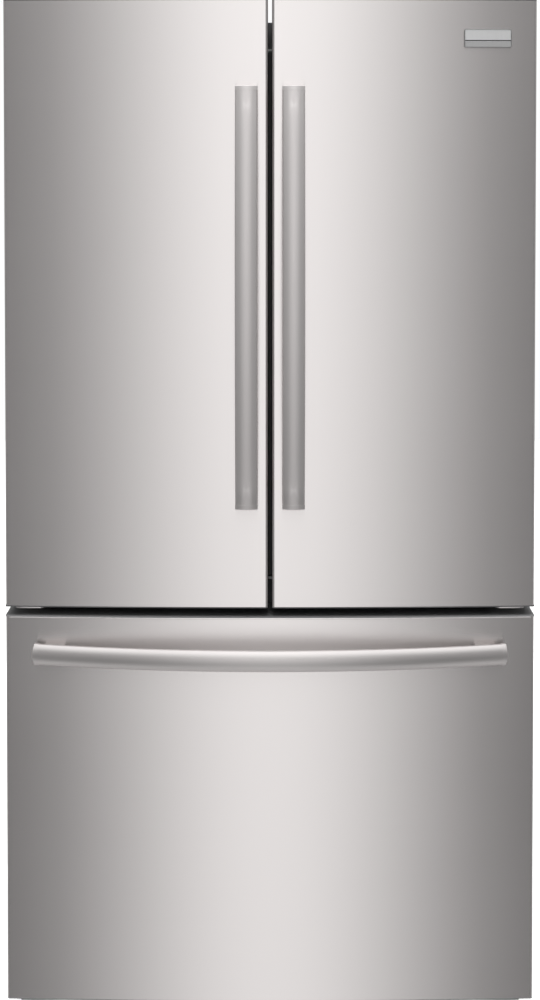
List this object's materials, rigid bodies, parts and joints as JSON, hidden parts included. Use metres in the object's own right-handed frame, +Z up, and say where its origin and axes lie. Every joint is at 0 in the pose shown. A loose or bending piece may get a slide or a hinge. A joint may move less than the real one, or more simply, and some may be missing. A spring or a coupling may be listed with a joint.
{
  "type": "french door refrigerator",
  "caption": "Free-standing refrigerator with two bowed steel doors over a freezer drawer, bar handles, shelves, bins and cooling parts.",
  "frame": {"origin": "on the floor under the middle of the overall box", "axes": "+Z up, the doors face -Y, +X to the right of a person facing the doors"},
  "size_m": [0.907, 0.791, 1.778],
  "materials": {
    "stainless": "fine level grain",
    "handle_steel": "satin",
    "badge": "satin, two-tier",
    "door_cap_plastic": "fine texture",
    "grey_paint": "orange-peel paint",
    "galvanised": "zinc",
    "hinge_steel": "bright zinc",
    "black_plastic": "satin",
    "foam": "closed foam",
    "white_liner": "gloss",
    "seal_rubber": "soft vinyl",
    "clear_plastic": "clear",
    "shelf_trim": "satin",
    "shelf_steel": "white paint",
    "shelf_pane": "tempered",
    "compressor_paint": "gloss",
    "coil_aluminium": "mill",
    "leg_plastic": "matte"
  },
  "bodies": {
    "cabinet": {"outer_case": "grey_paint", "rear_panel": "galvanised", "cabinet_foam": "foam", "fridge_liner": "white_liner", "freezer_liner": "white_liner", "base_frame": "galvanised", "toe_grille": "black_plastic", "hinge_covers": "black_plastic", "top_hinges": "hinge_steel", "center_hinges": "hinge_steel", "hinge_screws": "hinge_steel", "mullion_flap": "black_plastic", "compressor": "compressor_paint", "condenser_coil": "coil_aluminium", "compressor_cover": "black_plastic", "evaporator_coil": "coil_aluminium", "evaporator_cover": "white_liner", "fan_motors": "compressor_paint", "air_duct": "white_liner", "light_lens": "clear_plastic", "shelf_ladders": "shelf_steel", "shelf_frames": "shelf_trim", "shelf_glass": "shelf_pane", "crisper_drawers": "clear_plastic", "ceiling_module": "white_liner", "ice_maker": "white_liner", "outer_slides": "galvanised"},
    "left_door": {"left_door_skin": "stainless", "left_door_caps": "door_cap_plastic", "left_door_liner": "white_liner", "left_door_seal": "seal_rubber", "left_door_handle": "handle_steel", "left_door_bins": "clear_plastic"},
    "right_door": {"right_door_skin": "stainless", "right_door_caps": "door_cap_plastic", "right_door_liner": "white_liner", "right_door_seal": "seal_rubber", "right_door_handle": "handle_steel", "right_door_bins": "clear_plastic", "badge_plate": "badge"},
    "freezer_drawer": {"drawer_skin": "stainless", "drawer_caps": "door_cap_plastic", "drawer_liner": "white_liner", "drawer_seal": "seal_rubber", "drawer_handle": "handle_steel", "inner_slides": "galvanised", "lower_basket": "white_liner"},
    "slide_middles": {"middle_slides": "galvanised"},
    "freezer_tray": {"upper_basket": "white_liner"},
    "dairy_cover": {"dairy_lid": "clear_plastic"},
    "condenser_rotor": {"condenser_fan": "black_plastic"},
    "evaporator_rotor": {"evaporator_fan": "black_plastic"},
    "left_humidity_control": {"humidity_slider_left": "shelf_trim"},
    "right_humidity_control": {"humidity_slider_right": "shelf_trim"},
    "water_filter": {"filter_cartridge": "white_liner"},
    "shutoff_arm": {"ice_arm": "shelf_steel"},
    "left_leg": {"leveling_leg_left": "leg_plastic"},
    "right_leg": {"leveling_leg_right": "leg_plastic"},
    "left_roller": {"rear_roller_left": "leg_plastic"},
    "right_roller": {"rear_roller_right": "leg_plastic"}
  },
  "joints": [
    {"name": "left_door_swing", "type": "hinge", "parent": "cabinet", "child": "left_door", "pos_m": [-0.4265, -0.29, 1.25], "axis": [0, 0, -1], "range_deg": [0, 115]},
    {"name": "right_door_swing", "type": "hinge", "parent": "cabinet", "child": "right_door", "pos_m": [0.4265, -0.29, 1.25], "axis": [0, 0, 1], "range_deg": [0, 115]},
    {"name": "freezer_drawer_slide", "type": "slide", "parent": "cabinet", "child": "freezer_drawer", "axis": [0, -1, 0], "range_m": [0, 0.43]},
    {"name": "middle_slides_follow", "type": "slide", "parent": "cabinet", "child": "slide_middles", "axis": [0, -1, 0], "range_m": [0, 0.215]},
    {"name": "upper_basket_follow", "type": "slide", "parent": "cabinet", "child": "freezer_tray", "axis": [0, -1, 0], "range_m": [0, 0.301]},
    {"name": "dairy_lid_lift", "type": "hinge", "parent": "right_door", "child": "dairy_cover", "pos_m": [0.222, -0.2195, 1.538], "axis": [1, 0, 0], "range_deg": [0, 80]},
    {"name": "condenser_fan_spin", "type": "hinge", "parent": "cabinet", "child": "condenser_rotor", "pos_m": [-0.02, 0.31825, 0.15], "axis": [1, 0, 0], "continuous": true},
    {"name": "evaporator_fan_spin", "type": "hinge", "parent": "cabinet", "child": "evaporator_rotor", "pos_m": [0, 0.295, 0.6], "axis": [0, 1, 0], "continuous": true},
    {"name": "left_humidity_slide", "type": "slide", "parent": "cabinet", "child": "left_humidity_control", "axis": [1, 0, 0], "range_m": [0, 0.04]},
    {"name": "right_humidity_slide", "type": "slide", "parent": "cabinet", "child": "right_humidity_control", "axis": [1, 0, 0], "range_m": [0, 0.04]},
    {"name": "filter_quarter_turn", "type": "hinge", "parent": "cabinet", "child": "water_filter", "pos_m": [0.3, 0.02, 1.65], "axis": [0, 1, 0], "range_deg": [0, 90]},
    {"name": "ice_arm_lift", "type": "hinge", "parent": "cabinet", "child": "shutoff_arm", "pos_m": [-0.32, 0.12, 0.59], "axis": [0, 1, 0], "range_deg": [0, 35]},
    {"name": "left_leg_turn", "type": "hinge", "parent": "cabinet", "child": "left_leg", "pos_m": [-0.418, -0.18, 0.02], "axis": [0, 0, 1], "continuous": true},
    {"name": "right_leg_turn", "type": "hinge", "parent": "cabinet", "child": "right_leg", "pos_m": [0.418, -0.18, 0.02], "axis": [0, 0, 1], "continuous": true},
    {"name": "left_roller_spin", "type": "hinge", "parent": "cabinet", "child": "left_roller", "pos_m": [-0.418, 0.345, 0.02], "axis": [1, 0, 0], "continuous": true},
    {"name": "right_roller_spin", "type": "hinge", "parent": "cabinet", "child": "right_roller", "pos_m": [0.418, 0.345, 0.02], "axis": [1, 0, 0], "continuous": true}
  ],
  "couplings": [
    {"joint": "middle_slides_follow", "follows": "freezer_drawer_slide", "ratio": 0.5},
    {"joint": "upper_basket_follow", "follows": "freezer_drawer_slide", "ratio": 0.7}
  ]
}
